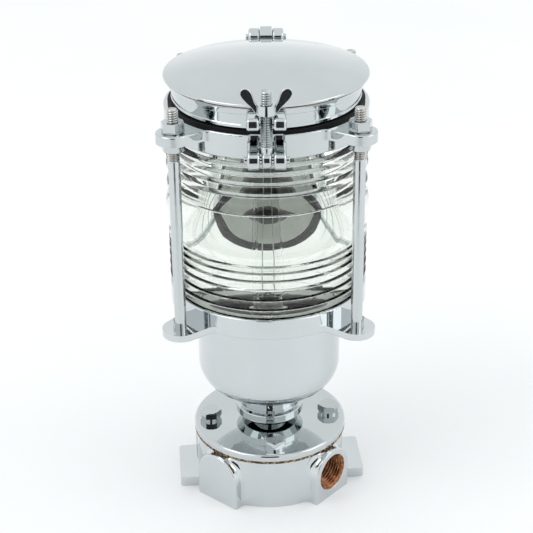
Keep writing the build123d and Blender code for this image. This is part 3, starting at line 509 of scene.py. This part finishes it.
def dress(finishes):
    """Give every carried-over CAD node its finish."""
    own_finish = {
        # The bowl and the box take the brighter copy of the chrome, which is painted light.
        "lantern_bowl": plated_bowl("bowl_chrome", BODY_BRIGHT, BODY_SHADE, **CAST_PLATE, well_roughness=0.7),
        "junction_box": plated("box_chrome", BODY_BRIGHT, BODY_SHADE, **CAST_PLATE),
        "deck_plate": satin_deck("satin_deck"),
    }
    for subpart in record["subparts"]:
        node = subpart["node"]
        mesh = nodes[node].data
        mesh.materials.clear()
        mesh.materials.append(own_finish.get(node, finishes[subpart["material_slot"]]))


# ---------------------------------------------------------------- mesh helpers
def make_object(name, points, faces, material, body, groove=None):
    """Mesh object with smooth sides and sharp corners, riding on a body."""
    mesh = bpy.data.meshes.new(name)
    mesh.from_pydata(points, [], faces)
    mesh.materials.append(material)
    mesh.shade_smooth()
    mesh.set_sharp_from_angle(angle=SHARP_ANGLE)
    if groove:
        mesh.attributes.new("groove", "FLOAT", "POINT").data.foreach_set("value", groove)
    piece = bpy.data.objects.new(name, mesh)
    bpy.context.scene.collection.objects.link(piece)
    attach(piece, body)
    return piece


def smoothstep(low, high, value):
    """0 below low, 1 above high, and a soft step between them."""
    share = min(max((value - low) / (high - low), 0.0), 1.0)
    return share * share * (3 - 2 * share)


def tooth(turns):
    """Depth of a V thread, 0 on the crest and 1 at the root, after this many turns."""
    away = abs(2 * (turns % 1.0) - 1)
    return min(max((away - THREAD_CREST) / THREAD_FLANK, 0.0), 1.0)


def ring_faces(loops, segments, closed):
    """Quads between successive loops of points, back to the first loop if closed."""
    faces = []
    for row in range(loops if closed else loops - 1):
        following_row = (row + 1) % loops
        for segment in range(segments):
            following = (segment + 1) % segments
            faces.append(
                (
                    row * segments + segment,
                    row * segments + following,
                    following_row * segments + following,
                    following_row * segments + segment,
                )
            )
    return faces


def rows_between(bottom, top, threads, pitch):
    """Heights of a bar's rows: close together where it is threaded."""
    fine = pitch / ROWS_PER_PITCH
    heights = [bottom]
    for low, high in threads:
        count = math.ceil((high - low) / fine)
        rows = [low + (high - low) * step / count for step in range(count + 1)]
        heights += [height for height in rows if bottom < height < top]
    heights.append(top)
    return heights


def thread_run_in(height, threads):
    """Share of the full thread depth at this height: it fades in over the first turn."""
    shares = [smoothstep(low, low + THREAD_PITCH, height) for low, high in threads if low <= height <= high]
    return max(shares, default=0.0)


def threaded_bar(radius, bottom, top, threads):
    """Points, faces and groove depths of a round bar along Z, capped, with a turned-down tip."""
    heights = rows_between(bottom, top, threads, THREAD_PITCH)
    points = []
    groove = []
    for height in heights:
        cut = thread_run_in(height, threads)
        tip = max(0.0, (height - (top - TIP_LENGTH)) / TIP_LENGTH)
        nose = radius - TIP_TAPER * TIP_LENGTH * tip - TIP_ROUNDING * TIP_LENGTH * tip * tip
        for segment in range(ROD_SEGMENTS):
            angle = 2 * math.pi * segment / ROD_SEGMENTS
            depth = cut * tooth(height / THREAD_PITCH - segment / ROD_SEGMENTS)
            reach = min(radius - THREAD_DEPTH * depth, nose)
            points.append((reach * math.cos(angle), reach * math.sin(angle), height))
            groove.append(depth)
    faces = ring_faces(len(heights), ROD_SEGMENTS, False)
    last = (len(heights) - 1) * ROD_SEGMENTS
    faces.append(tuple(reversed(range(ROD_SEGMENTS))))
    faces.append(tuple(range(last, last + ROD_SEGMENTS)))
    return points, faces, groove


# ---------------------------------------------------------------- pieces
def make_guard_rods(material):
    """Four rods with a cut thread at their upper ends."""
    for name in sorted(n for n in nodes if n.startswith("guard_rod_")):
        low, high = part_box(name)
        centre = (low + high) / 2
        radius = (high.x - low.x) / 2
        threads = [(high.z - ROD_THREAD_LENGTH, high.z)]
        points, faces, groove = threaded_bar(radius, low.z, high.z, threads)
        placed = [(centre.x + x, centre.y + y, z) for x, y, z in points]
        new_name = name.replace("guard_rod", "threaded_rod")
        rod = make_object(new_name, placed, faces, material, "lantern", groove)
        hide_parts(name)


def make_swing_bolt(material, plain):
    """Eye and threaded shank of the latch bolt."""
    low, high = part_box("swing_bolt")
    joint = next(j for j in record["behaviour"]["joints"] if j["name"] == "swing_bolt_pivot")
    pivot = Vector(joint["pos_m"])
    radius = (high.x - low.x) / 2
    threads = [(BOLT_THREAD_START, high.z)]
    points, faces, groove = threaded_bar(radius, pivot.z + SHANK_START, high.z, threads)
    placed = [(pivot.x + x, pivot.y + y, z) for x, y, z in points]
    shank = make_object("swing_bolt_shank", placed, faces, material, "latch_bolt", groove)
    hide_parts("swing_bolt")
    points, faces = bolt_eye(pivot, pivot.z - low.z)
    eye = make_object("swing_bolt_eye", points, faces, plain, "latch_bolt")
    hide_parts("swing_bolt")


def bolt_eye(pivot, reach):
    """Points and faces of the bolt's eye: a ring about the pivot with rounded rims."""
    half = EYE_HALF_WIDTH
    inner = half - EYE_ROUND
    outer = reach - EYE_ROUND
    bend = [math.radians(angle) for angle in range(0, 91, EYE_CORNER_STEP)]
    corner = [(inner + EYE_ROUND * math.cos(t), outer + EYE_ROUND * math.sin(t)) for t in bend]
    far_corner = [(-x, r) for x, r in reversed(corner)]
    outline = [(half, EYE_BORE)] + corner + far_corner + [(-half, EYE_BORE)]
    points = []
    for across, out in outline:
        for segment in range(EYE_SEGMENTS):
            angle = 2 * math.pi * segment / EYE_SEGMENTS
            side = pivot.y + out * math.sin(angle)
            points.append((pivot.x + across, side, pivot.z + out * math.cos(angle)))
    return points, ring_faces(len(outline), EYE_SEGMENTS, True)


def prism_face(edge, root_height, root_radius):
    """(radius, height, unevenness) from a prism's rounded tip, at the edge, to its root."""
    depth = LENS_TIP - root_radius
    run = root_height - edge
    way = math.copysign(1.0, run)
    face = [
        (LENS_TIP - LENS_TIP_ROUND, edge, 1),
        (LENS_TIP - LENS_TIP_SINK, edge + way * LENS_TIP_FIRST, 1),
        (LENS_TIP - LENS_TIP_SINK, edge + way * LENS_TIP_SECOND, 1),
        (LENS_TIP - depth / abs(run) * LENS_TIP_LAST, edge + way * LENS_TIP_LAST, 0.5),
    ]
    face += [(LENS_TIP - depth * share, edge + run * share, 0) for share in PRISM_FACE_SHARES]
    face.append((root_radius, root_height, 0))
    return face


def lens_outline():
    """(radius, height, unevenness) round the drum lens's section, outside upwards and then the bore."""
    low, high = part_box("fresnel_lens")
    outline = [(LENS_FOOT, low.z, 0), (LENS_FOOT, LENS_LOWER_EDGES[0], 0)]
    for under, edge in zip(LENS_LOWER_EDGES, LENS_LOWER_EDGES[1:]):
        outline += reversed(prism_face(edge, under, LENS_ROOT))
    rise = LENS_CROWN - LENS_ROOT
    curve = (BELT_HALF * BELT_HALF + rise * rise) / (2 * rise)
    for step in range(BELT_STEPS + 1):
        height = BELT_BOTTOM + (BELT_TOP - BELT_BOTTOM) * step / BELT_STEPS
        outline.append((LENS_CROWN - curve + math.sqrt(curve**2 - (height - BELT_MIDDLE) ** 2), height, 0))
    for edge, over in zip(LENS_UPPER_EDGES, LENS_UPPER_EDGES[1:]):
        outline += prism_face(edge, over, LENS_UPPER_ROOT)
    outline += [(LENS_FOOT, LENS_UPPER_EDGES[-1], 0), (LENS_FOOT, high.z, 0)]
    outline += [(LENS_BORE, high.z, 0), (LENS_BORE, (high.z + low.z) / 2, 0), (LENS_BORE, low.z, 0)]
    return outline


def make_lens(material):
    """Pressed drum lens: slightly wavy prisms with worn tips, and a mould seam front and back."""
    wave_around, wave_up = 4, 90
    chip_around, chip_up = 60, 300
    outline = lens_outline()
    points = []
    for radius, height, uneven in outline:
        for segment in range(LENS_SEGMENTS):
            angle = SEAM_ANGLE + 2 * math.pi * segment / LENS_SEGMENTS
            around = Vector((math.cos(angle), math.sin(angle), 0))
            slow = (noise.noise(around * wave_around + Vector((0, 0, height * wave_up))) + 1) / 2
            sharp = noise.noise(around * chip_around + Vector((0, 0, height * chip_up)))
            chip = max(0.0, sharp) * uneven
            on_seam = segment % (LENS_SEGMENTS // 2) == 0 and radius > LENS_BORE
            seam = SEAM_HEIGHT if on_seam else 0.0
            worn = LENS_WAVE * slow + LENS_CHIP * chip
            inward = -1 if radius <= LENS_BORE else 1
            reach = radius - inward * worn - inward * SEAM_HEIGHT + seam
            points.append((reach * around.x, reach * around.y, height))
    faces = ring_faces(len(outline), LENS_SEGMENTS, True)
    lens = make_object("prism_lens", points, faces, material, "lantern")
    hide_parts("fresnel_lens")


def make_parting_line(material):
    """Wavy bead of bare metal where the lid's two castings meet."""
    thin, swing = 0.7, 0.6
    bead_around, drift_around = 9, 5
    drift_slice = Vector((0, 0, 7))
    points = []
    for side in range(PARTING_SIDES):
        turn = 2 * math.pi * side / PARTING_SIDES
        for segment in range(PARTING_SEGMENTS):
            angle = 2 * math.pi * segment / PARTING_SEGMENTS
            around = Vector((math.cos(angle), math.sin(angle), 0))
            bead = PARTING_BEAD * (thin + swing * noise.noise(around * bead_around))
            drift = PARTING_BEAD * noise.noise(around * drift_around + drift_slice)
            reach = PARTING_RADIUS - PARTING_BEAD + bead * math.cos(turn)
            height = PARTING_HEIGHT + drift + bead * math.sin(turn)
            points.append((reach * around.x, reach * around.y, height))
    faces = ring_faces(PARTING_SIDES, PARTING_SEGMENTS, True)
    make_object("parting_line", points, faces, material, "lid")


def make_conduit_thread(material):
    """Bare metal pipe thread inside the tapped hub, with the turned lip at its mouth."""
    mount = next(m for m in record["mounts"] if m["name"] == "conduit_entry")
    centre = Vector(mount["pos_m"])
    outward = Vector(mount["axis"]).normalized()
    half = mount["dims"]["length_mm"] * MM / 2
    bore = mount["dims"]["r_mm"] * MM
    length = 2 * half + PIPE_LIP
    rows = math.ceil(length / (PIPE_PITCH / ROWS_PER_PITCH))
    sleeve = bore - PIPE_SKIN
    points = []
    groove = []
    for radius, along in [(sleeve, -half), (sleeve, half), (sleeve + PIPE_LIP, half + PIPE_LIP)]:
        for segment in range(PIPE_SEGMENTS):
            angle = 2 * math.pi * segment / PIPE_SEGMENTS
            points.append((radius * math.cos(angle), radius * math.sin(angle), along))
            groove.append(0.0)
    for row in range(rows + 1):
        along = half + PIPE_LIP - length * row / rows
        fade = smoothstep(-half, -half + PIPE_PITCH, along)
        mouth = bore + along - half - PIPE_WALL
        for segment in range(PIPE_SEGMENTS):
            angle = 2 * math.pi * segment / PIPE_SEGMENTS
            depth = tooth(along / PIPE_PITCH - segment / PIPE_SEGMENTS)
            cut = bore - PIPE_WALL - PIPE_DEPTH * (1 - depth) * fade
            radius = max(cut, mouth) if along < half else mouth
            points.append((radius * math.cos(angle), radius * math.sin(angle), along))
            groove.append(depth)
    loops = len(points) // PIPE_SEGMENTS
    place = Matrix.Translation(centre) @ outward.to_track_quat("Z", "Y").to_matrix().to_4x4()
    placed = [tuple(place @ Vector(p)) for p in points]
    faces = ring_faces(loops, PIPE_SEGMENTS, True)
    make_object("conduit_thread", placed, faces, material, "lantern", groove)


# ---------------------------------------------------------------- studio
def stage_card(name, corners, material):
    """One flat four-cornered sheet that isn't part of the object."""
    mesh = bpy.data.meshes.new(name)
    mesh.from_pydata(corners, [], [(0, 1, 2, 3)])
    mesh.materials.append(material)
    card = bpy.data.objects.new(name, mesh)
    bpy.context.scene.collection.objects.link(card)
    return card


def make_floor():
    """Plain pale floor under the box."""
    material, tree, shader = new_material("pale_floor")
    coords = object_coords(tree)
    tone = mottled(tree, noise_field(tree, coords, scale=4), FLOOR_DARK, FLOOR_LIGHT)
    tree.links.new(tone, shader.inputs["Base Color"])
    shader.inputs["Roughness"].default_value = 0.7
    level = cad_low.z - FLOOR_GAP
    turns = [(-1, -1), (1, -1), (1, 1), (-1, 1)]
    corners = [(FLOOR_HALF * x, FLOOR_HALF * y, level) for x, y in turns]
    stage_card("floor", corners, material)


def make_flag():
    """Tall dark card on the camera's side, seen only where the chrome mirrors it."""
    material, _, shader = new_material("dark_card")
    shader.inputs["Base Color"].default_value = (*CARD_COLOUR, 1)
    shader.inputs["Roughness"].default_value = 0.9
    turns = [(-1, CARD_BOTTOM), (1, CARD_BOTTOM), (1, CARD_TOP), (-1, CARD_TOP)]
    corners = [(CARD_HALF_WIDTH * x, -CARD_DISTANCE, height) for x, height in turns]
    flag = stage_card("dark_flag", corners, material)
    flag.visible_camera = False
    flag.visible_shadow = False


def make_world():
    """White studio tent, brightest at the horizon."""
    world = bpy.data.worlds.new("tent")
    bpy.context.scene.world = world
    world.use_nodes = True
    tree = world.node_tree
    coords = tree.nodes.new("ShaderNodeTexCoord")
    split = tree.nodes.new("ShaderNodeSeparateXYZ")
    tree.links.new(coords.outputs["Generated"], split.inputs["Vector"])
    height = spread(tree, split.outputs["Z"], 0.0, 1.0, -1.0, 1.0)
    stops = [(0.0, TENT_BOTTOM), (0.5, TENT_HORIZON), (0.7, TENT_SHOULDER), (1.0, TENT_TOP)]
    background = tree.nodes["Background"]
    tree.links.new(colours(tree, height, stops), background.inputs["Color"])
    background.inputs["Strength"].default_value = TENT_STRENGTH


def add_area(name, location, size, power):
    """Soft square studio light, aimed at the lantern."""
    light = bpy.data.lights.new(name, "AREA")
    light.shape = "RECTANGLE"
    light.size = size
    light.size_y = size
    light.energy = power
    lamp = bpy.data.objects.new(name, light)
    lamp.location = location
    lamp.rotation_mode = "QUATERNION"
    lamp.rotation_quaternion = (Vector(LIGHT_AIM) - Vector(location)).to_track_quat("-Z", "Y")
    bpy.context.scene.collection.objects.link(lamp)


def make_camera():
    """Camera at the viewing angle, aimed at the middle of the lantern."""
    data = bpy.data.cameras.new("camera")
    data.lens = CAMERA_LENS
    data.clip_start = CAMERA_NEAR
    camera = bpy.data.objects.new("camera", data)
    back = Vector((0, -math.cos(CAMERA_PITCH), math.sin(CAMERA_PITCH)))
    camera.location = AIM_POINT + back * CAMERA_DISTANCE + Vector((CAMERA_SIDESTEP, 0, 0))
    looking = (AIM_POINT - camera.location).to_track_quat("-Z", "Y")
    camera.rotation_mode = "QUATERNION"
    camera.rotation_quaternion = looking @ Matrix.Rotation(CAMERA_ROLL, 3, "Z").to_quaternion()
    bpy.context.scene.collection.objects.link(camera)
    bpy.context.scene.camera = camera


# ---------------------------------------------------------------- build
bpy.context.scene.view_settings.view_transform = "Standard"
make_camera()
make_world()
make_floor()
make_flag()
add_area("key", KEY_PLACE, KEY_SIZE, KEY_POWER)
add_area("fill", FILL_PLACE, FILL_SIZE, FILL_POWER)

finishes = finish_table()
dress(finishes)
make_guard_rods(threaded_plate("rod_thread_plate", ROD_GROOVE))
make_swing_bolt(threaded_plate("bolt_thread_plate", BOLT_GROOVE), finishes["chrome_hardware"])
make_lens(finishes["lens_glass"])
make_parting_line(finishes["bare_brass"])
make_conduit_thread(finishes["bare_brass"])
